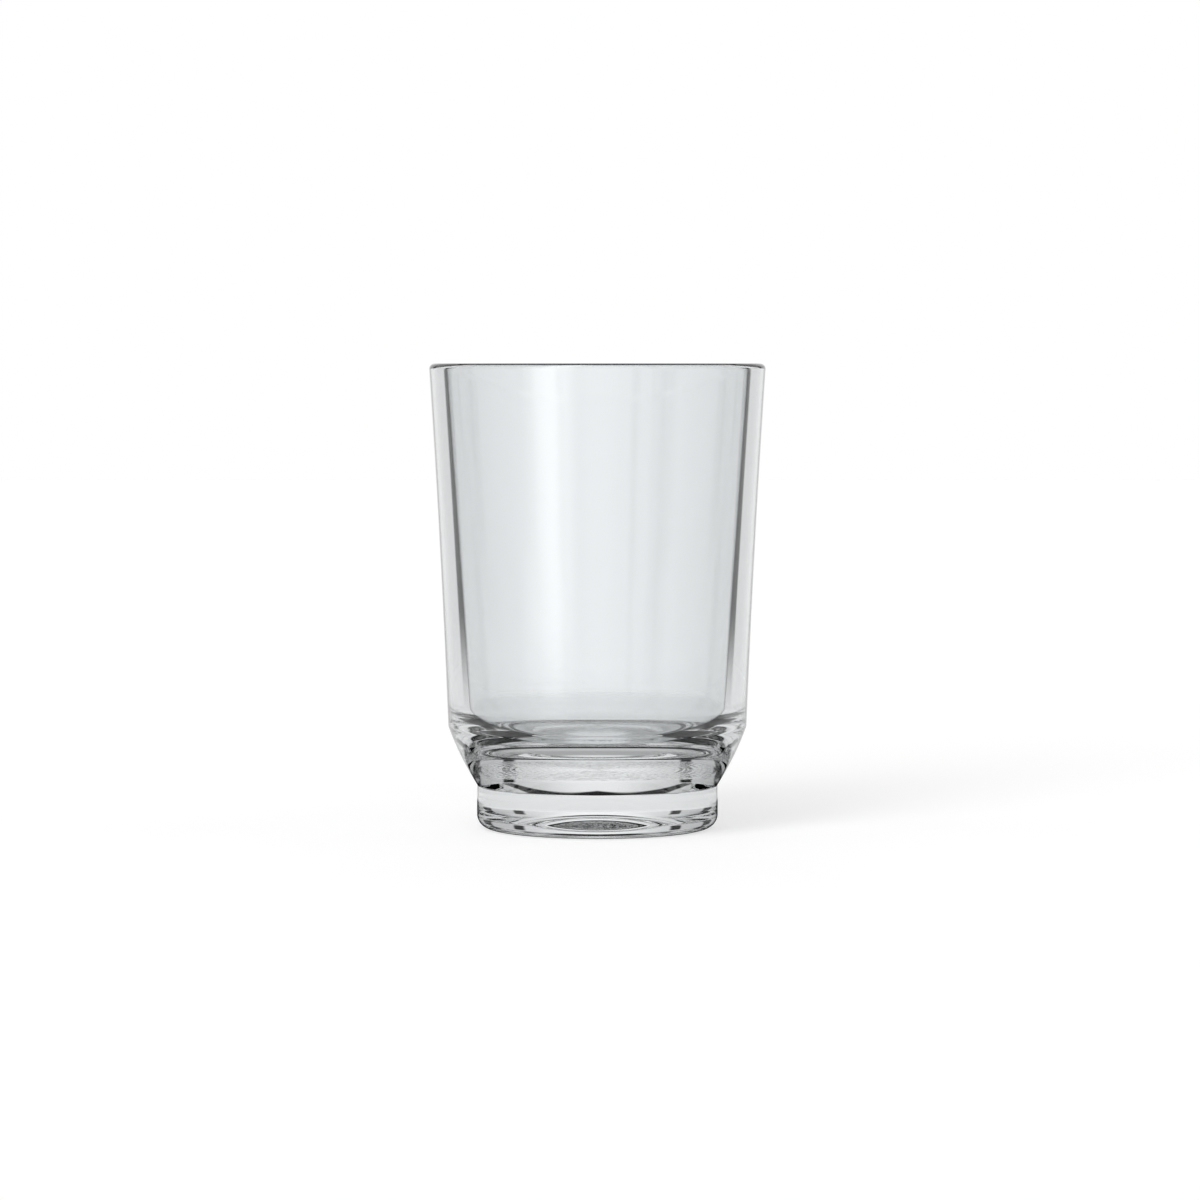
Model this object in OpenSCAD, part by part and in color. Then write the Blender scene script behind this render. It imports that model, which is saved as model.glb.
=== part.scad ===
// Tumbler, pressed in one piece of clear glass: a tapering cup with a thick floor, a slope under its
// shoulder and a narrower foot.
// Millimetres, +Z up, origin on the axis at the height of the table that the foot stands on.

/* [Cup] */
// Height from the table to the top of the rim
height = 110.5; // [90:0.5:140]
// Outer diameter of the rim, as if its edge were not rounded
rim_d = 80; // [76:0.5:95]
// Thickness of the wall at the rim
rim_wall = 3.9; // [3:0.1:5]
// Rounding of the outer edge of the rim
rim_outer_round = 1.3; // [0.5:0.1:1.4]
// Rounding of the inner edge of the rim
rim_inner_round = 1.2; // [0.5:0.1:1.4]
// How far the middle of the wall's outside lies inside a straight line from shoulder to rim
wall_bow = 0.3; // [0.1:0.05:0.6]

/* [Inside] */
// Height of the floor of the cup above the table
floor_h = 20.2; // [17:0.2:25]
// Thickness of the wall at the height of the shoulder, measured level
shoulder_wall = 5.3; // [4:0.1:7]
// Rounding between the walls and the floor
floor_round = 10; // [5:0.5:12]

/* [Shoulder] */
// Diameter of the shoulder, where the cup is drawn in towards the foot
shoulder_d = 71.1; // [68:0.1:73]
// Height of the shoulder's edge above the table
shoulder_h = 24.3; // [20.3:0.2:30.3]
// Rounding of the shoulder's edge
shoulder_round = 3; // [1:0.5:6]
// How far the middle of the slope under the shoulder stands out from a straight line
slope_bulge = 0.45; // [0.1:0.05:0.7]

/* [Foot] */
// Diameter of the foot
foot_d = 57.4; // [54:0.2:62]
// Height of the foot's upright side, from the table to the slope under the shoulder
foot_h = 10.3; // [8.1:0.2:14.1]
// Rounding of the foot's lower edge
foot_round = 3.2; // [2:0.1:5.5]
// Rounding in the angle between the foot and the slope
waist_round = 0.8; // [0.3:0.1:2]

/* [Hollow under the foot] */
// Diameter of the shallow hollow inside the ring that the glass stands on
punt_d = 35; // [28:0.5:43]
// Depth of the hollow in its middle
punt_depth = 4.2; // [1:0.2:6]

/* [Hidden] */

// Sides of the round surfaces in a preview
round_sides = 180;
// Sides of the great circle that the dome under the foot is taken from
dome_sides = 720;
// Straight steps that the slight curves of the wall and of the slope are made of
wall_steps = 12;
slope_steps = 8;

rim_r = rim_d / 2;
mouth_r = rim_r - rim_wall;
shoulder_r = shoulder_d / 2;
foot_r = foot_d / 2;

waist_edge = [foot_r, foot_h];
shoulder_edge = [shoulder_r, shoulder_h];
rim_edge = [rim_r, height];

// The inside tapers evenly from the mouth down past the shoulder, to where its walls would meet the floor
inside_at_shoulder_r = shoulder_r - shoulder_wall;
inside_taper = (mouth_r - inside_at_shoulder_r) / (height - shoulder_h);
floor_r = inside_at_shoulder_r - inside_taper * (shoulder_h - floor_h);

// Radius of the circle that crosses a chord of this length and stands off it by this rise
function dome_radius(chord, rise) = (chord * chord / 4 + rise * rise) / (2 * rise);

// Points between two ends, on a slight curve that lies to the left of the straight line by the rise
function bowed(from, to, rise, steps) =
    let (along = to - from, left = [-along[1], along[0]] / norm(along))
    [for (i = [1 : steps - 1])
        let (share = i / steps)
        from + share * along + 4 * share * (1 - share) * rise * left];

// Points of an outline as corners that have no rounding
function sharp(points) = [for (p = points) [p[0], p[1], 0]];

// One corner of an outline is [x, y, rounding], and these give its place, and a unit step from it to another
function place(corner) = [corner[0], corner[1]];
function step(from, to) = (place(to) - place(from)) / norm(place(to) - place(from));

// Half the angle between the two sides that meet at a corner
function half_angle(before, corner, after) = acos(step(corner, before) * step(corner, after)) / 2;

// The two points where the rounding of a corner leaves its sides
function rounding_ends(before, corner, after) =
    let (run = corner[2] / tan(half_angle(before, corner, after)))
    [place(corner) + run * step(corner, before), place(corner) + run * step(corner, after)];

// Centre of a corner's rounding
function rounding_centre(before, corner, after) =
    let (middle = step(corner, before) + step(corner, after))
    place(corner) + middle / norm(middle) * corner[2] / sin(half_angle(before, corner, after));

// More than zero where an outline that runs anticlockwise turns outwards, so that its corner sticks out
function turn(before, corner, after) = cross(step(before, corner), step(corner, after));

// A flat shape with rounded corners, listed anticlockwise
module rounded_outline(corners) {
    count = len(corners);
    triples = [for (i = [0 : count - 1])
        [corners[(i + count - 1) % count], corners[i], corners[(i + 1) % count]]];
    difference() {
        union() {
            polygon([for (t = triples)
                each t[1][2] > 0 ? rounding_ends(t[0], t[1], t[2]) : [place(t[1])]]);
            for (t = triples)
                if (t[1][2] > 0 && turn(t[0], t[1], t[2]) > 0)
                    translate(rounding_centre(t[0], t[1], t[2]))
                        circle(r = t[1][2], $fn = round_sides);
        }
        for (t = triples)
            if (t[1][2] > 0 && turn(t[0], t[1], t[2]) < 0)
                translate(rounding_centre(t[0], t[1], t[2]))
                    circle(r = t[1][2], $fn = round_sides);
    }
}

// Half of the section through the glass, on a flat base
module section_on_flat_base() {
    foot = [[foot_r, 0, foot_round], [foot_r, foot_h, waist_round]];
    slope = sharp(bowed(waist_edge, shoulder_edge, -slope_bulge, slope_steps));
    shoulder = [[shoulder_r, shoulder_h, shoulder_round]];
    wall = sharp(bowed(shoulder_edge, rim_edge, wall_bow, wall_steps));
    rim = [[rim_r, height, rim_outer_round], [mouth_r, height, rim_inner_round]];
    inside = [[floor_r, floor_h, floor_round], [0, floor_h, 0]];
    rounded_outline(concat([[0, 0, 0]], foot, slope, shoulder, wall, rim, inside));
}

// The shallow dome that is taken out of the base, inside the ring that the glass stands on
module punt_curve() {
    dome_r = dome_radius(punt_d, punt_depth);
    translate([0, punt_depth - dome_r])
        circle(r = dome_r, $fn = dome_sides);
}

// The whole glass: its section turned about the axis
module glass_body() {
    color([0.9, 0.94, 0.94, 0.35])
        rotate_extrude($fn = round_sides)
            difference() {
                section_on_flat_base();
                punt_curve();
            }
}

glass_body();
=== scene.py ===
# %% [markdown]
# # A tumbler in clear pressed glass
# A drinking glass is one piece of one material, so there is no seam, screw or label to model. What the eye
# sees in it is other things, bent: the studio behind it, its own inside wall, its own floor. The lesson
# therefore has three subjects. They are a true outline, inside and out, the glass itself, and the studio
# that it bends.
#
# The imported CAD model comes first. It fixes the size and the place of everything else, in metres.

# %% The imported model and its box
import bmesh
import bpy
import math
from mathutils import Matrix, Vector, noise


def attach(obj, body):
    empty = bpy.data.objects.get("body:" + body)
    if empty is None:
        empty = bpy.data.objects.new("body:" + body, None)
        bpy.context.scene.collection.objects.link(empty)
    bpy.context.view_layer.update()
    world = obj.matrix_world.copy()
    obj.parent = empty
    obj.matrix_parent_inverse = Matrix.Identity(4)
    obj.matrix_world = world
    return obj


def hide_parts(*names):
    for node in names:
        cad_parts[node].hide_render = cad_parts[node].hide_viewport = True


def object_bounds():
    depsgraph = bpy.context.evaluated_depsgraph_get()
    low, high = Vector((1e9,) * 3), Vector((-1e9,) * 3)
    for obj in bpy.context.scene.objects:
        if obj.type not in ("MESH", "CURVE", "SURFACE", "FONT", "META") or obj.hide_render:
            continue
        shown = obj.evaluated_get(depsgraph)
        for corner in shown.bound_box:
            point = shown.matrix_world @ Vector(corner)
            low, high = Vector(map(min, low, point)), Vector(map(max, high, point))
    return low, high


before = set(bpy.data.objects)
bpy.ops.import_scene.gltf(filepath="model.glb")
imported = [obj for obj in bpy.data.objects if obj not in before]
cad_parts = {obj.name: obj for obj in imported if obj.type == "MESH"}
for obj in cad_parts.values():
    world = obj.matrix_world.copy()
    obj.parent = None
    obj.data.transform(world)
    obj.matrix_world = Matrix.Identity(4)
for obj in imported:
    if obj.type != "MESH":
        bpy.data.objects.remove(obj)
cad_low, cad_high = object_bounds()
MM = 0.001
height = (cad_high.z - cad_low.z) / MM
print(f"packed glass: {height:.1f} mm tall, {(cad_high.x - cad_low.x) / MM:.1f} mm across")

# %% [markdown]
# ## The outline of the glass
# Half of the section through the glass is a chain of corners, each with its rounding. The chain starts
# under the middle of the foot, runs out and up the outside, over the rim and down the inside to the floor.
# A hand would draw it with a Bezier curve. A chain of corners and radii is used here because that is how a
# mould maker dimensions a glass, and because the roundings bend light and so have to be true arcs.
#
# The mould makes the outside. It has a foot, a slope that stands out slightly, a shoulder and a tapering
# wall that is hollow by 0.3 mm. The plunger makes the inside, which is a plain taper with a rounded corner.
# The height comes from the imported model, and the other sizes are those of its source.

# %% The sizes of the section, in millimetres
rim_r, rim_wall = 40.0, 3.9
rim_outer_round, rim_inner_round = 1.3, 1.2
wall_bow = 0.3
shoulder_r, shoulder_h, shoulder_round = 35.55, 24.3, 3.0
shoulder_wall = 5.3
slope_bulge = 0.45
waist_round = 0.8
foot_r, foot_h, foot_round = 28.7, 10.3, 3.2
floor_h, floor_round = 20.2, 10.0
punt_r, punt_depth, punt_lip = 17.5, 4.2, 0.3

mouth_r = rim_r - rim_wall
inside_taper = (mouth_r - shoulder_r + shoulder_wall) / (height - shoulder_h)
floor_r = shoulder_r - shoulder_wall - inside_taper * (shoulder_h - floor_h)
print(f"the inside would meet the floor {floor_r:.2f} mm off the axis")

# %% [markdown]
# Two helpers turn corners into a smooth chain. The first puts points on a slight curve beside a straight
# line, for the bulge of the slope and the bow of the wall. The second replaces each rounded corner by an
# arc. The points of an arc are about 3 degrees apart, and no point is more than 1 mm from the next, because
# glass shows a coarse chain as stripes in what it bends.

# %% A slight curve, and rounded corners
arc_step, point_spacing, fewest_steps = math.radians(3), 1.0, 3


def bowed(start, end, rise, steps):
    """Corners between two ends, on a curve that lies to the left of the line between them by the rise."""
    along = end - start
    left = Vector((-along.y, along.x)).normalized()
    shares = [i / steps for i in range(1, steps)]
    return [(*(start + s * along + 4 * s * (1 - s) * rise * left), 0) for s in shares]


def rounded(corners):
    """The corners (radius, height, rounding) as a chain of closely spaced points."""
    chain = [Vector(corners[0][:2])]
    for before, corner, after in zip(corners, corners[1:], corners[2:]):
        place = Vector(corner[:2])
        back = (Vector(before[:2]) - place).normalized()
        on = (Vector(after[:2]) - place).normalized()
        if corner[2] == 0:
            chain.append(place)
            continue
        half = back.angle(on) / 2
        centre = place + (back + on).normalized() * corner[2] / math.sin(half)
        first = place + back * corner[2] / math.tan(half) - centre
        sweep = (math.pi - 2 * half) * math.copysign(1, -back.cross(on))
        steps = max(fewest_steps, round(abs(sweep) / arc_step))
        for i in range(steps + 1):
            a = sweep * i / steps
            chain.append(centre + Vector((first.x * math.cos(a) - first.y * math.sin(a),
                                          first.x * math.sin(a) + first.y * math.cos(a))))
    chain.append(Vector(corners[-1][:2]))
    dense = [chain[0]]
    for p in chain[1:]:
        pieces = max(1, math.ceil((p - dense[-1]).length / point_spacing))
        dense += [dense[-1].lerp(p, i / pieces) for i in range(1, pieces + 1)]
    return dense


print(f"arcs in steps of {math.degrees(arc_step):.0f} degrees, points at most {point_spacing} mm apart")

# %% [markdown]
# Under the foot is a domed hollow, the punt. It keeps the middle of the glass off the table, so that the
# glass stands on a ring and doesn't rock. In this glass it also works as a curved mirror: light that comes
# in through the foot is reflected on its inner side, and draws the dark eye low in the foot from the painted
# shade on the table around the foot.
#
# The dome is a part of a large circle, worked out from its width and its depth. The rest is the list of
# corners, in the order in which a finger would follow them.

# %% The whole chain, from under the foot to the middle of the floor
dome_steps, slope_steps, wall_steps = 24, 8, 24
dome_r = (punt_r ** 2 + punt_depth ** 2) / (2 * punt_depth)
dome = []
for i in range(dome_steps):
    a = math.asin(punt_r / dome_r) * i / dome_steps
    dome.append((dome_r * math.sin(a), punt_depth - dome_r * (1 - math.cos(a)), 0))
waist, shoulder, rim = Vector((foot_r, foot_h)), Vector((shoulder_r, shoulder_h)), Vector((rim_r, height))
corners = dome + [(punt_r, 0, punt_lip), (foot_r, 0, foot_round), (*waist, waist_round)]
corners += bowed(waist, shoulder, -slope_bulge, slope_steps) + [(*shoulder, shoulder_round)]
corners += bowed(shoulder, rim, wall_bow, wall_steps) + [(*rim, rim_outer_round)]
corners += [(mouth_r, height, rim_inner_round), (floor_r, floor_h, floor_round), (0, floor_h, 0)]
chain = rounded(corners)
print(f"{len(corners)} corners became {len(chain)} points")

# %% [markdown]
# ## Turning it
# A Screw modifier or a lathe would turn the chain about the axis. It is turned here in mesh code, for one
# reason: the ring that the glass stands on is knurled, with fine radial ribs that stop a wet glass from
# sticking to the table. Ribs 0.7 mm apart need three times as many sides as the rest, and only there.

# %% The helpers that make rings and join them
sides = 256
ribs, sides_per_rib = 192, 4
rib_sides = sides_per_rib * ribs
rib_depth = 0.12
rib_from, rib_to, rib_margin = 18.6, 23.6, 0.5
tiny = 1e-6
print(f"ribs every {math.pi * (rib_from + rib_to) / ribs:.2f} mm around the standing ring")


def ring(mesh, r, z, count):
    """A ring of vertices, or the one vertex on the axis."""
    if r < tiny:
        return [mesh.verts.new((0, 0, z * MM))]
    angles = [2 * math.pi * i / count for i in range(count)]
    return [mesh.verts.new((r * math.cos(a) * MM, r * math.sin(a) * MM, z * MM)) for a in angles]


def join(mesh, one, other):
    """Faces between two rings, of which one may have several times as many vertices as the other."""
    few, many = sorted((one, other), key=len)
    times = len(many) // len(few)
    for i, here in enumerate(few):
        nxt = few[(i + 1) % len(few)]
        part = [many[(i * times + k) % len(many)] for k in range(times + 1)]
        if len(few) == 1:
            for a, b in zip(part, part[1:]):
                mesh.faces.new((here, a, b))
        elif times == 1:
            mesh.faces.new((here, nxt, part[1], part[0]))
        else:
            for k, (a, b) in enumerate(zip(part, part[1:])):
                mesh.faces.new((here if k < times // 2 else nxt, a, b))
            mesh.faces.new((here, nxt, part[times // 2]))


# %% [markdown]
# The rings are made one after the other along the chain, and each is joined to the one before. On the
# standing ring they get the sides of the ribs, and every rib is one wave of a cosine.

# %% The rings of the whole glass, joined
mesh = bmesh.new()
last = None
for p in chain:
    on_ribs = p.y < tiny and rib_from - rib_margin <= p.x <= rib_to + rib_margin
    here = ring(mesh, p.x, p.y, rib_sides if on_ribs else sides)
    if on_ribs and rib_from <= p.x <= rib_to:
        for i, v in enumerate(here):
            v.co.z += rib_depth * MM * (1 - math.cos(2 * math.pi * i * ribs / rib_sides)) / 2
    if last:
        join(mesh, last, here)
    last = here
print(f"{len(mesh.verts)} vertices in {len(chain)} rings")

# %% [markdown]
# A pressed glass is never as true as its drawing. The plunger leaves it a few hundredths of a millimetre
# out, because the hot glass shrinks unevenly as it leaves the mould. That is enough to make the dark lines
# in the walls waver, as they do in every real tumbler, and a perfect lathe shape would look like plastic.
# A Displace modifier with a noise texture could do it. A few lines of mesh code do it here, because they
# can keep the unevenness, a smooth noise over about 25 mm, away from the rim and from the foot.

# %% The walls, made slightly uneven
uneven, uneven_over = 0.02, 25.0
even_rim, fade_over = 2.0, 10.0


def wavered(p):
    """A vertex of the wall, moved out or in by a few hundredths of a millimetre."""
    z = p.z / MM
    fade = max(0.0, min(1.0, (z - floor_h) / fade_over, (height - even_rim - z) / fade_over))
    shift = uneven * fade * noise.noise(p / MM / uneven_over)
    out = Vector((p.x, p.y, 0)).normalized()
    return p + out * shift * MM


for v in mesh.verts:
    v.co = wavered(v.co)
bmesh.ops.recalc_face_normals(mesh, faces=mesh.faces)
print(f"{mesh.calc_volume() * 1e6:.1f} cm3 of glass")

# %% [markdown]
# The mesh becomes the one object of this lesson. It takes the place of the imported solid, which is hidden,
# and rides on the root body.

# %% The glass as an object
glass_mesh = bpy.data.meshes.new("tumbler_glass")
mesh.to_mesh(glass_mesh)
mesh.free()
glass_mesh.shade_smooth()
glass = bpy.data.objects.new("tumbler_glass", glass_mesh)
bpy.context.scene.collection.objects.link(glass)
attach(glass, "root")
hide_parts("glass_body")
print(f"{glass.name}: {len(glass_mesh.polygons)} faces")

# %% [markdown]
# ## The glass
# Colours are written as sRGB hex values, as a picture editor shows them. Blender works in linear light, so
# one function turns them. A second small function adds a node, with its settings and its links.

# %% Two helpers for colours and nodes
def linear(code):
    """An sRGB hex colour as linear red, green, blue and alpha."""
    parts = [int(code[i:i + 2], 16) / 255 for i in (1, 3, 5)]
    return (*(c / 12.92 if c <= 0.04045 else ((c + 0.055) / 1.055) ** 2.4 for c in parts), 1)


def add(tree, kind, inputs=None, **settings):
    """Adds a node. An input is a value, or another node's output, which is then linked."""
    made = tree.nodes.new(kind)
    for name, value in settings.items():
        setattr(made, name, value)
    for name, value in (inputs or {}).items():
        if isinstance(value, bpy.types.NodeSocket):
            tree.links.new(value, made.inputs[name])
        else:
            made.inputs[name].default_value = value
    return made


print(f"a middle grey is {linear('#808080')[0]:.3f} in linear light")

# %% [markdown]
# The glass is soda-lime glass, as of windows, bottles and most tumblers. Its index of refraction is 1.52.
# It is pressed in an iron mould and then fire-polished: a flame melts the skin, which leaves it as smooth as
# a liquid, so its roughness is zero. Iron in the sand would make it green. Glass makers cover that with a
# little blue and pink, which leaves a clear glass that is the least bit cool and grey.

# %% Soda-lime glass, pressed and fire-polished
soda_lime = bpy.data.materials.new("soda_lime_glass_fire_polished")
soda_lime.use_nodes = True
tree = soda_lime.node_tree
shader = tree.nodes["Principled BSDF"]
shader.inputs["Roughness"].default_value = 0.0
shader.inputs["IOR"].default_value = 1.52
shader.inputs["Transmission Weight"].default_value = 1.0
glass_mesh.materials.append(soda_lime)
place = add(tree, "ShaderNodeTexCoord").outputs["Object"]
axes = add(tree, "ShaderNodeSeparateXYZ", {"Vector": place})
flat = add(tree, "ShaderNodeCombineXYZ", {"X": axes.outputs["X"], "Y": axes.outputs["Y"]})
off_axis = add(tree, "ShaderNodeVectorMath", {0: flat.outputs["Vector"]}, operation="LENGTH")
print(f"{soda_lime.name}: index of refraction {shader.inputs['IOR'].default_value:.2f}")

# %% [markdown]
# Light that crosses the wall at a slant has a longer way through the glass, which greys it a little. The grey
# towards the sides of the wall is partly that and partly painted shade, and over the last ten degrees of
# slant a painted dark outline turns it nearly black, which deepens the dark lines that bent light draws at
# the edges.
# A Volume Absorption node would grey it by the true length of the way, but would darken the thick foot far
# more than the photograph shows. The tint therefore follows the slant alone, with a Layer Weight node.

# %% The tint and the painted dark outline, by how much the light slants
# The edge colour is painted shade, a nearly black outline where the glass is seen at a graze. The slant
# colour is partly the longer way through the glass and partly painted shade.
clear_colour, slant_colour, painted_edge_shade_colour = "#F4F6F7", "#D6D8D9", "#101214"
slant_blend = 0.5
edge_from, edge_to = 0.80, 0.88
facing = add(tree, "ShaderNodeLayerWeight", {"Blend": slant_blend}).outputs["Facing"]
through = add(tree, "ShaderNodeMix", {"Factor": facing, 6: linear(clear_colour), 7: linear(slant_colour)},
              data_type="RGBA")
# How much of the painted dark outline shows, over the last degrees of slant.
painted_edge_shade = add(tree, "ShaderNodeMapRange", {"Value": facing, "From Min": edge_from, "From Max": edge_to},
              interpolation_type="SMOOTHSTEP")
print(f"from {clear_colour} straight through to {slant_colour} at a slant, and {painted_edge_shade_colour} at the edge")

# %% [markdown]
# The rim is the other dark line of a glass. Its outer edge was rounded by the flame, and seen from its own
# height, more than half of that rounding lies in a line half a millimetre high. Bent light alone leaves the
# line paler than it is in the photograph, so the top half millimetre of the rounding is painted with the
# edge's dark tint too, as painted shade. A second material on those faces would do it as well, but with a
# hard border. Here it fades in over 0.15 mm.

# %% The painted dark line of the rim, and the whole tint
rim_line, rim_line_soft = 0.5, 0.15
rim_round_r = rim_r - rim_outer_round
on_top = add(tree, "ShaderNodeMapRange",
             {"Value": axes.outputs["Z"], "From Min": (height - rim_line) * MM,
              "From Max": (height - rim_line + rim_line_soft) * MM}, interpolation_type="SMOOTHSTEP")
at_edge = add(tree, "ShaderNodeMapRange",
              {"Value": off_axis.outputs["Value"], "From Min": rim_round_r * MM,
               "From Max": (rim_round_r + rim_line_soft) * MM}, interpolation_type="SMOOTHSTEP")
# The rim's dark line is painted shade on the top of the outer rounding of the lip.
painted_rim_shade = add(tree, "ShaderNodeMath", {0: on_top.outputs["Result"], 1: at_edge.outputs["Result"]},
               operation="MULTIPLY")
# All the painted shade together: the dark outline at a graze and the dark line of the rim.
dark = add(tree, "ShaderNodeMath", {0: painted_edge_shade.outputs["Result"], 1: painted_rim_shade.outputs["Value"]},
           operation="MAXIMUM")
# The glass's own clear-to-grey tint, with the painted shade mixed in.
tint_and_painted_shade = add(tree, "ShaderNodeMix", {"Factor": dark.outputs["Value"], 6: through.outputs[2],
                                   7: linear(painted_edge_shade_colour)}, data_type="RGBA")
tree.links.new(tint_and_painted_shade.outputs[2], shader.inputs["Base Color"])
print(f"the rim's line lies outside {rim_round_r:.1f} mm and above {height - rim_line:.1f} mm")

# %% [markdown]
# The flame doesn't reach everything. The floor keeps the grain of the plunger's tip, fine pits about
# 0.7 mm apart over faint turned rings. It is seen from the front as a grainy lens under the shoulder. It
# could be sculpted, but it is a tenth of a millimetre high, which a bump does as well.
#
# The grain belongs to the floor alone. A mask picks it out by place on the glass: near the height of the
# floor, and inside its flat part.

# %% The grain, on the floor of the cup alone
grain_over, grain_detail, grain_height = 0.7, 2.0, 0.1
turned_over, turned_share = 1.1, 0.25
floor_reach, grain_fade = 0.3, 2.0
flat_r = floor_r - floor_round
grain = add(tree, "ShaderNodeTexNoise",
            {"Vector": place, "Scale": 1 / (grain_over * MM), "Detail": grain_detail})
turns = add(tree, "ShaderNodeMath", {0: off_axis.outputs["Value"], 1: 2 * math.pi / (turned_over * MM)},
            operation="MULTIPLY")
rings = add(tree, "ShaderNodeMath", {0: turns.outputs["Value"]}, operation="SINE")
marks = add(tree, "ShaderNodeMath", {0: rings.outputs["Value"], 1: turned_share, 2: grain.outputs["Fac"]},
            operation="MULTIPLY_ADD")
near_floor = add(tree, "ShaderNodeMath", {0: axes.outputs["Z"], 1: floor_h * MM, 2: floor_reach * MM},
                 operation="COMPARE")
inside_flat = add(tree, "ShaderNodeMapRange",
                  {"Value": off_axis.outputs["Value"], "From Min": (flat_r - grain_fade) * MM,
                   "From Max": flat_r * MM, "To Min": 1.0, "To Max": 0.0}, interpolation_type="SMOOTHSTEP")
mask = add(tree, "ShaderNodeMath", {0: near_floor.outputs["Value"], 1: inside_flat.outputs["Result"]},
           operation="MULTIPLY")
bump = add(tree, "ShaderNodeBump", {"Strength": mask.outputs["Value"], "Distance": grain_height * MM,
                                    "Height": marks.outputs["Value"]})
tree.links.new(bump.outputs["Normal"], shader.inputs["Normal"])
print(f"grain {grain_height} mm high on the floor, {2 * flat_r:.1f} mm across")

# %% [markdown]
# ## The camera
# The photograph was taken from the height of the rim, which shows as a straight line, and from about a
# metre away, which the round of the foot gives away. The lens could then be found by trying. Two measures of
# the picture give it at once: the rim is 336 of its 1200 pixels wide, and the axis stands 2.6 pixels left of
# the middle, which a small shift makes up for.

# %% A camera at the photograph's place
photo_px, rim_px, axis_px = 1200, 336, 597.4
camera_away, aim_h, sensor_mm = 1.0, 0.05425, 36
lens = bpy.data.cameras.new("camera")
camera = bpy.data.objects.new("camera", lens)
bpy.context.scene.collection.objects.link(camera)
bpy.context.scene.camera = camera
camera.location = (0, -camera_away, height * MM)
look = Vector((0, 0, aim_h)) - camera.location
camera.rotation_euler = look.to_track_quat("-Z", "Y").to_euler()
lens.sensor_width = sensor_mm
lens.lens = lens.sensor_width * look.length * rim_px / photo_px / (2 * rim_r * MM)
lens.shift_x = (photo_px / 2 - axis_px) / photo_px
print(f"a {lens.lens:.0f} mm lens, {math.degrees(math.atan2(-look.z, look.y)):.2f} degrees down")

# %% [markdown]
# ## The studio
# Clear glass is lit by what stands around it. A photographer puts it before a bright wall, which shines
# through it, and leaves narrow dark gaps between the wall and the side panels. The glass bends those gaps
# into the dark lines that draw its edges, which its own painted dark outline deepens. Without them a clear
# glass on white all but disappears.
#
# Walls and panels could be built as meshes. They are written into the world instead, as light by direction,
# because each is then two angles, and none can stand in the way of another view. This studio is the same
# from the front and from behind, and from the left and from the right. Its angles are degrees around the
# glass, counted from the line on which the camera looks, and degrees up from level.

# %% The angle around the glass, and the angle up from level
world = bpy.data.worlds.new("studio")
bpy.context.scene.world = world
world.use_nodes = True
tree = world.node_tree
tree.nodes.clear()
quarter = 90.0
direction = add(tree, "ShaderNodeTexCoord").outputs["Generated"]
axes = add(tree, "ShaderNodeSeparateXYZ", {"Vector": direction})
around = add(tree, "ShaderNodeMath", {0: axes.outputs["X"], 1: axes.outputs["Y"]}, operation="ARCTAN2")
around = add(tree, "ShaderNodeMath", {0: around.outputs["Value"]}, operation="DEGREES")
up = add(tree, "ShaderNodeMath", {0: axes.outputs["Z"]}, operation="ARCSINE")
up = add(tree, "ShaderNodeMath", {0: up.outputs["Value"]}, operation="DEGREES").outputs["Value"]
either_side = add(tree, "ShaderNodeMath", {0: around.outputs["Value"]}, operation="ABSOLUTE")
from_side = add(tree, "ShaderNodeMath", {0: either_side.outputs["Value"], 1: quarter}, operation="SUBTRACT")
from_side = add(tree, "ShaderNodeMath", {0: from_side.outputs["Value"]}, operation="ABSOLUTE")
angle = add(tree, "ShaderNodeMath", {0: quarter, 1: from_side.outputs["Value"]},
            operation="SUBTRACT").outputs["Value"]
print(f"angles run from 0 before and behind the glass to {quarter:.0f} at its sides")

# %% [markdown]
# A colour ramp would do for the walls, but its stops can't be read as angles. A chain of smooth steps can:
# each takes the light so far and goes over to the next one between its own two angles.
#
# The wall is brightest in its middle. High up it goes over to a grey panel, with a dark gap and the light
# side of the room beyond. Up to about 12 degrees the wall is narrower, and a first gap parts it from the
# panel.

# %% The wall, the gaps and the panels
wall_light, wall_edge_light, panel_light, side_light, gap_light = 1.0, 0.74, 0.62, 0.75, 0.02
wall_spans = ((3, 26, wall_edge_light),)
high_spans = ((40, 42, panel_light), (50, 53, gap_light), (63, 66, side_light))
level_spans = ((26, 28, gap_light), (32, 33.5, panel_light), (50, 53, gap_light), (63, 66, side_light))


def stepped(light, over, spans):
    """Light that changes in smooth steps, each given as its start, its end and the new light."""
    for start, end, then in spans:
        step = add(tree, "ShaderNodeMapRange", {"Value": over, "From Min": start, "From Max": end},
                   interpolation_type="SMOOTHSTEP")
        mix = add(tree, "ShaderNodeMix", {"Factor": step.outputs["Result"], "A": light, "B": then})
        light = mix.outputs["Result"]
    return light


wall = stepped(wall_light, angle, wall_spans)
high_wall = stepped(wall, angle, high_spans)
level_wall = stepped(wall, angle, level_spans)
print(f"wall {wall_light} to {wall_edge_light}, panel {panel_light}, sides {side_light}, gaps {gap_light}")

# %% [markdown]
# Below level the table reaches to the horizon, and it is as white as the background. Light that has been
# thrown back inside the glass, as by a mirror, finds a gap there as well. With the glass's painted dark
# outline, it draws the dark line inside each wall. The Light Path node tells the two apart, so that what is
# seen straight through the glass stays white from every side.

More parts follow.
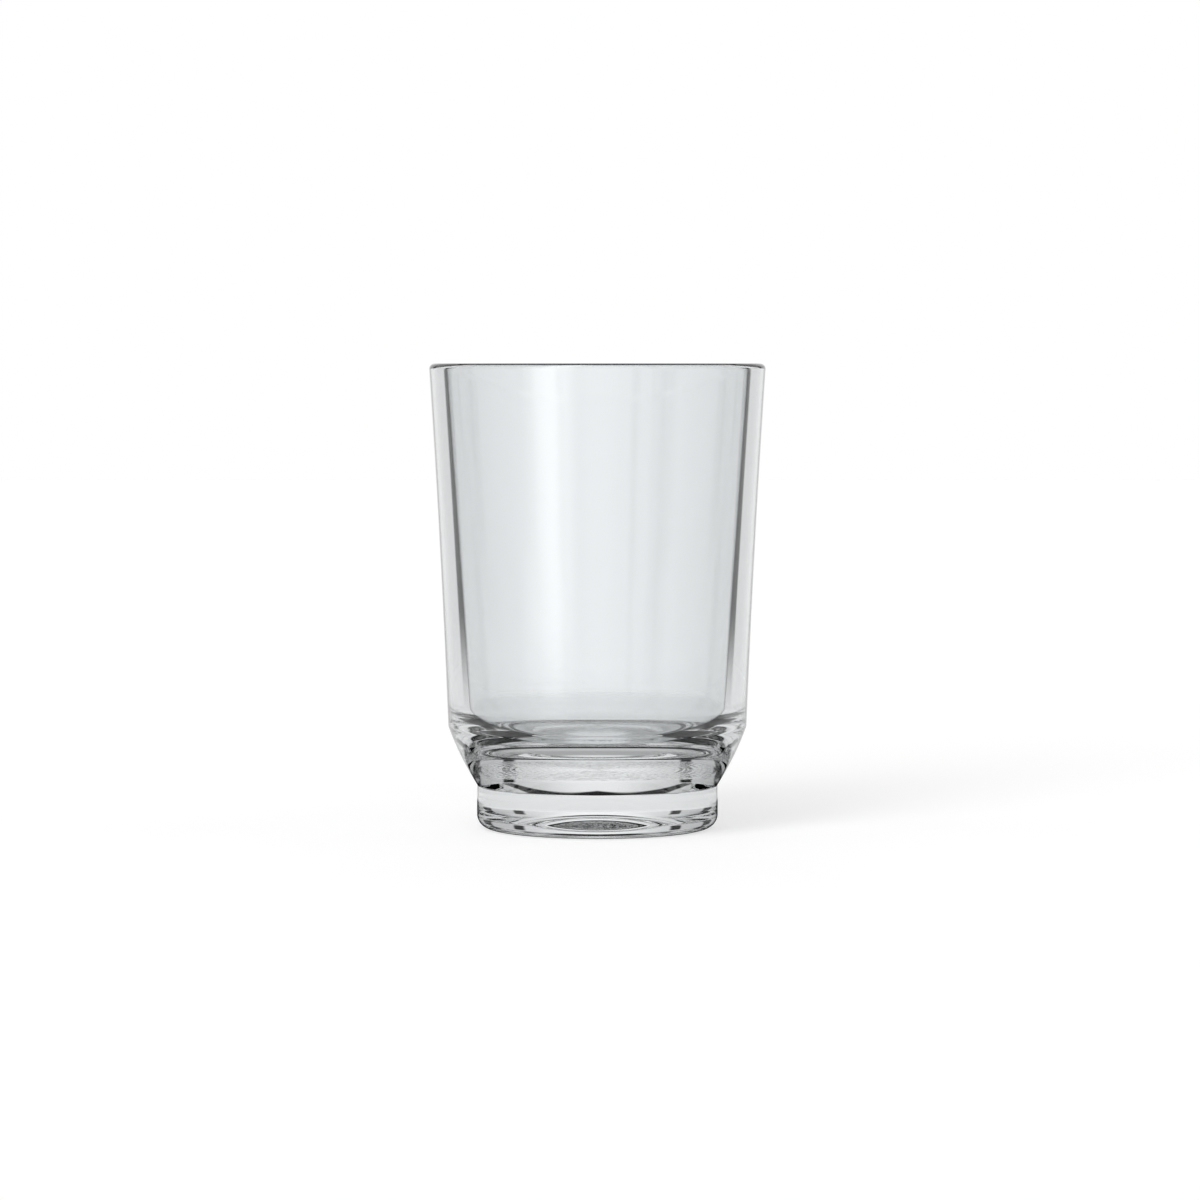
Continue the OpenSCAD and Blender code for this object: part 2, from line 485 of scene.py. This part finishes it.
# %% What light finds below level
table_light, far_side_light = 1.0, 0.55
low_spans = ((39, 42, gap_light), (50, 54, side_light), (62, 78, far_side_light))
half_a_bounce = 0.5
low_gap = stepped(wall, angle, low_spans)
paths = add(tree, "ShaderNodeLightPath")
through_glass = add(tree, "ShaderNodeMath", {0: paths.outputs["Transmission Depth"], 1: half_a_bounce},
                    operation="GREATER_THAN")
bounced = add(tree, "ShaderNodeMath", {0: paths.outputs["Glossy Depth"], 1: half_a_bounce},
              operation="GREATER_THAN")
mirrored = add(tree, "ShaderNodeMath", {0: through_glass.outputs["Value"], 1: bounced.outputs["Value"]},
               operation="MULTIPLY")
low_wall = add(tree, "ShaderNodeMix", {"Factor": mirrored.outputs["Value"], "A": table_light, "B": low_gap})
print(f"mirrored light finds a gap from {low_spans[0][0]} to {low_spans[1][1]} degrees")

# %% [markdown]
# The parts are put on top of each other, from the table to the dark ceiling. A narrow dark rail crosses the
# wall about 30 degrees up, and rises slightly to its sides. The foot and the slope bend it into the black
# line that lies above the foot.

# %% From the table to the ceiling, and the rail
low_from, level_from, high_from, ceiling_from = (-20, -13), (-1, 1), (11, 14), (62, 72)
rail_from, rail_to, rail_soft, rail_rise = 28.0, 31.0, 0.6, 0.14
light = stepped(table_light, up, ((*low_from, low_wall.outputs["Result"]), (*level_from, level_wall),
                                  (*high_from, high_wall), (*ceiling_from, gap_light)))
above_rail = add(tree, "ShaderNodeMath", {0: angle, 1: -rail_rise, 2: up},
                 operation="MULTIPLY_ADD").outputs["Value"]
light = stepped(light, above_rail, ((rail_from, rail_from + rail_soft, gap_light),
                                    (rail_to - rail_soft, rail_to, light)))
print(f"a rail from {rail_from} to {rail_to} degrees up, a ceiling from {ceiling_from[1]} degrees")

# %% [markdown]
# A tall soft box behind the camera's left shoulder gives the long highlight. It is the one light that isn't
# the same on all sides. It could be an area light. In the world it is a bright patch with soft edges, added
# to the walls, and it is left out for light that has gone through the glass, so that only the outside of the
# glass mirrors it.
#
# The camera itself sees plain white in place of the studio.

# %% The strip light, and white for the camera
strip_at, strip_half, strip_soft, strip_light = -145.0, 14.0, 11.0, 4.3
strip_foot = (-16.0, -6.0)
white_light = 1.0
beside = add(tree, "ShaderNodeMath", {0: around.outputs["Value"], 1: strip_at}, operation="SUBTRACT")
beside = add(tree, "ShaderNodeMath", {0: beside.outputs["Value"]}, operation="ABSOLUTE")
strip = add(tree, "ShaderNodeMapRange",
            {"Value": beside.outputs["Value"], "From Min": strip_half - strip_soft,
             "From Max": strip_half + strip_soft, "To Min": strip_light, "To Max": 0.0},
            interpolation_type="SMOOTHSTEP")
upward = add(tree, "ShaderNodeMapRange", {"Value": up, "From Min": strip_foot[0], "From Max": strip_foot[1]},
             interpolation_type="SMOOTHSTEP")
outside = add(tree, "ShaderNodeMath", {0: paths.outputs["Transmission Depth"], 1: half_a_bounce},
              operation="LESS_THAN")
upward = add(tree, "ShaderNodeMath", {0: upward.outputs["Result"], 1: outside.outputs["Value"]},
             operation="MULTIPLY")
light = add(tree, "ShaderNodeMath", {0: strip.outputs["Result"], 1: upward.outputs["Value"], 2: light},
            operation="MULTIPLY_ADD").outputs["Value"]
shown = add(tree, "ShaderNodeMix", {"Factor": paths.outputs["Is Camera Ray"], "A": light, "B": white_light})
glow = add(tree, "ShaderNodeBackground", {"Color": linear("#FFFFFF"), "Strength": shown.outputs["Result"]})
add(tree, "ShaderNodeOutputWorld", {"Surface": glow.outputs["Background"]})
print(f"a strip light {2 * strip_half:.0f} degrees wide at {strip_at:.0f} degrees, {strip_light} times white")

# %% [markdown]
# ## The table
# The glass stands on a wide sheet of matte white card. Card lit by the studio alone would show a heavy
# shadow and a grey distance. Here a part of its light is the studio's, which carries the glass's shadow, and
# the rest is an even glow that keeps it white.

# %% A large table, just under the glass, and its white card
table_half, table_drop = 3.0, 0.05
lit_share, fill_light = 0.45, 0.62
table_mesh = bpy.data.meshes.new("table")
table_mesh.from_pydata([(-table_half, -table_half, 0), (table_half, -table_half, 0),
                        (table_half, table_half, 0), (-table_half, table_half, 0)], [], [(0, 1, 2, 3)])
table = bpy.data.objects.new("table", table_mesh)
table.location.z = cad_low.z - table_drop * MM
bpy.context.scene.collection.objects.link(table)
card = bpy.data.materials.new("matte_white_card")
card.use_nodes = True
table_mesh.materials.append(card)
tree = card.node_tree
tree.nodes.clear()
paper = add(tree, "ShaderNodeBsdfDiffuse", {"Color": (lit_share, lit_share, lit_share, 1)})
fill = add(tree, "ShaderNodeEmission", {"Color": linear("#FFFFFF"), "Strength": fill_light})
white = add(tree, "ShaderNodeAddShader", {0: paper.outputs["BSDF"], 1: fill.outputs["Emission"]})
print(f"a table {2 * table_half:.0f} m wide, {table_drop} mm under the glass")

# %% [markdown]
# Under a glass the table is lit unevenly. The hollow gathers light in its middle, the rest of it and the
# standing ring pass about half, and next to nothing arrives under the rounded edge of the foot. The even glow
# of the card would hide that, so these shares of white are painted on the card as a glow, by distance from
# the axis: a painted pool of light under the hollow and a painted shadow under the edge of the foot.
#
# Light that has been thrown back inside the glass finds the card painted dark out to 70 mm, a painted shade
# around the foot. That gives the thick base its dark accents. Straight light finds the card white there, and
# from 120 mm on the card gives way to the studio's own white, so that no edge shows through the glass.

# %% The painted light and shade that light through the glass finds on the table
# Shares of white painted on the card: a painted pool of light under the hollow and painted shadow under the
# foot's edge.
middle_share, punt_share, ring_share, under_share = 0.85, 0.45, 0.62, 0.01
share_spans = ((7, 11, punt_share), (19, 22, ring_share), (24, 26, under_share))
foot_edge, painted_shade_edge, card_edge = (27.0, 30.0), (70.0, 80.0), (120.0, 400.0)
position = add(tree, "ShaderNodeNewGeometry").outputs["Position"]
distance = add(tree, "ShaderNodeVectorMath", {0: position}, operation="LENGTH")
off_axis = add(tree, "ShaderNodeMath", {0: distance.outputs["Value"], 1: 1 / MM},
               operation="MULTIPLY").outputs["Value"]
in_foot, in_painted_shade, on_card = (
    add(tree, "ShaderNodeMapRange", {"Value": off_axis, "From Min": start, "From Max": end, "To Min": 1.0,
                                     "To Max": 0.0}, interpolation_type="SMOOTHSTEP").outputs["Result"]
    for start, end in (foot_edge, painted_shade_edge, card_edge))
rays = add(tree, "ShaderNodeLightPath")
bounced = add(tree, "ShaderNodeMath", {0: rays.outputs["Glossy Depth"], 1: half_a_bounce},
              operation="GREATER_THAN")
# Where the card shows the painted shade: out to 70 mm for light thrown back inside the glass, and under the
# foot for all light through it.
finds_dark = add(tree, "ShaderNodeMath", {0: bounced.outputs["Value"], 1: in_foot}, operation="MAXIMUM")
shaded = add(tree, "ShaderNodeMath", {0: in_painted_shade, 1: finds_dark.outputs["Value"]}, operation="MULTIPLY")
share = stepped(middle_share, off_axis, share_spans)
print(f"dark for mirrored light out to {painted_shade_edge[0]:.0f} mm, white card out to {card_edge[0]:.0f} mm")

# %% [markdown]
# Three Mix Shader nodes put the card together. The middle one gives light through the glass the painted
# light and shade. The last one gives the camera the plain white card, with the glass's shadow on it.

# %% The card, put together
# The shares as a glow on the card: painted light and shade.
shade = add(tree, "ShaderNodeEmission", {"Color": linear("#FFFFFF"), "Strength": share})
clear = add(tree, "ShaderNodeBsdfTransparent")
beyond = add(tree, "ShaderNodeMixShader", {0: on_card, 1: clear.outputs["BSDF"], 2: white.outputs["Shader"]})
others = add(tree, "ShaderNodeMixShader", {0: shaded.outputs["Value"], 1: beyond.outputs["Shader"],
                                           2: shade.outputs["Emission"]})
surface = add(tree, "ShaderNodeMixShader", {0: rays.outputs["Is Camera Ray"], 1: others.outputs["Shader"],
                                            2: white.outputs["Shader"]})
add(tree, "ShaderNodeOutputMaterial", {"Surface": surface.outputs["Shader"]})
print(f"{card.name}: {len(tree.nodes)} nodes")

# %% [markdown]
# ## How far light may go
# Light in a thick glass foot is reflected many times before it leaves. With the usual limits some of it is
# dropped on the way, which draws a false black ring around the eye in the foot. The limits are therefore
# raised well past the usual ones.

# %% Light paths and colour
scene = bpy.context.scene
scene.cycles.max_bounces = 32
scene.cycles.transmission_bounces = 32
scene.cycles.glossy_bounces = 16
scene.view_settings.view_transform = "Standard"
print(f"light may go through glass {scene.cycles.transmission_bounces} times")
